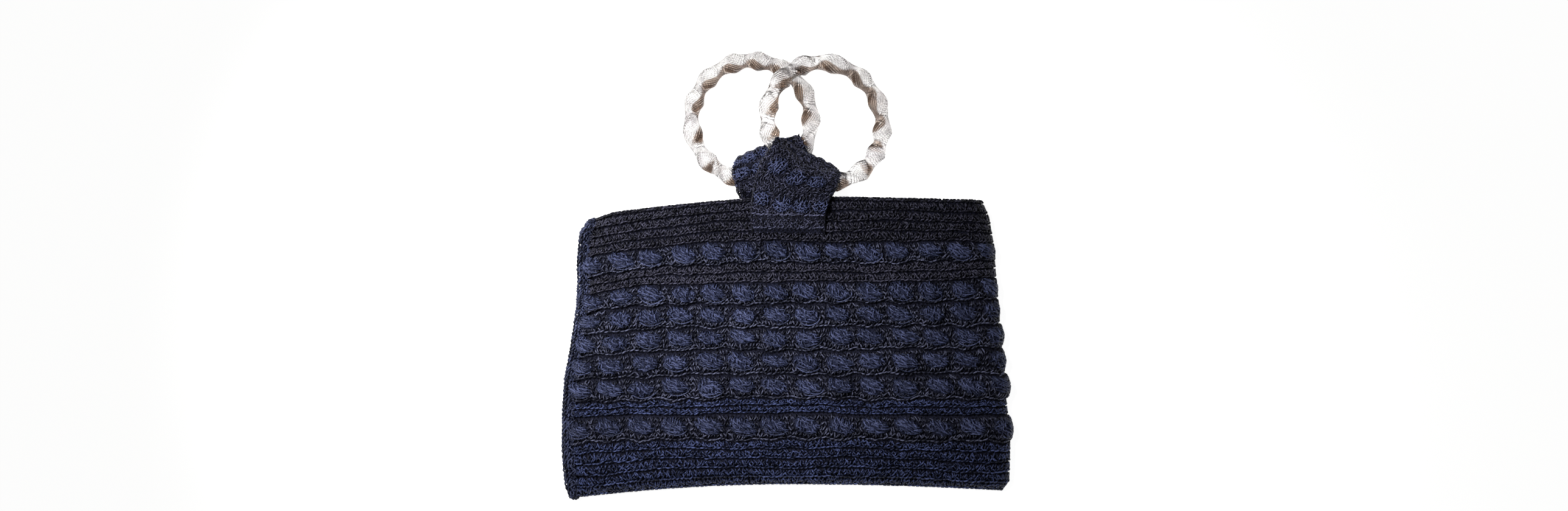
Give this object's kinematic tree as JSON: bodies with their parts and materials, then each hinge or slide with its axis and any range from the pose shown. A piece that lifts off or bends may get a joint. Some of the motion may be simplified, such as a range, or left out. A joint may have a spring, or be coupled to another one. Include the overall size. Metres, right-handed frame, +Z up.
{
  "type": "crochet handbag",
  "caption": "Flat navy crochet handbag with raised bobble rows, an open-mouthed pouch, and twisted clear ring handles held by folded crochet tabs.",
  "frame": {"origin": "centre of the bounding box on the surface that the bag lies on", "axes": "+Y from the bottom fold to the mouth and the ring handles, +X to the right seen from above, +Z up through the front face"},
  "size_m": [0.2994, 0.2982, 0.0437],
  "materials": {
    "crochet": "navy crochet cord, soft sheen",
    "edging": "navy crochet cord, soft sheen",
    "tab": "navy crochet cord, soft sheen",
    "clear_plastic": "clear, reeded along the bar, polished"
  },
  "bodies": {
    "bag": {"bag_body": "crochet", "left_edging": "edging", "front_tab": "tab", "back_tab": "tab"},
    "front_ring": {"front_ring": "clear_plastic"},
    "back_ring": {"back_ring": "clear_plastic"}
  },
  "joints": [
    {"name": "front_ring_turn", "type": "hinge", "parent": "bag", "child": "front_ring", "pos_m": [0.0251, 0.1002, 0.0204], "axis": [0.2945, 0.1045, 0.9499], "continuous": true},
    {"name": "back_ring_turn", "type": "hinge", "parent": "bag", "child": "back_ring", "pos_m": [-0.0243, 0.103, 0.0086], "axis": [-0.018, 0.04, 0.999], "continuous": true}
  ]
}
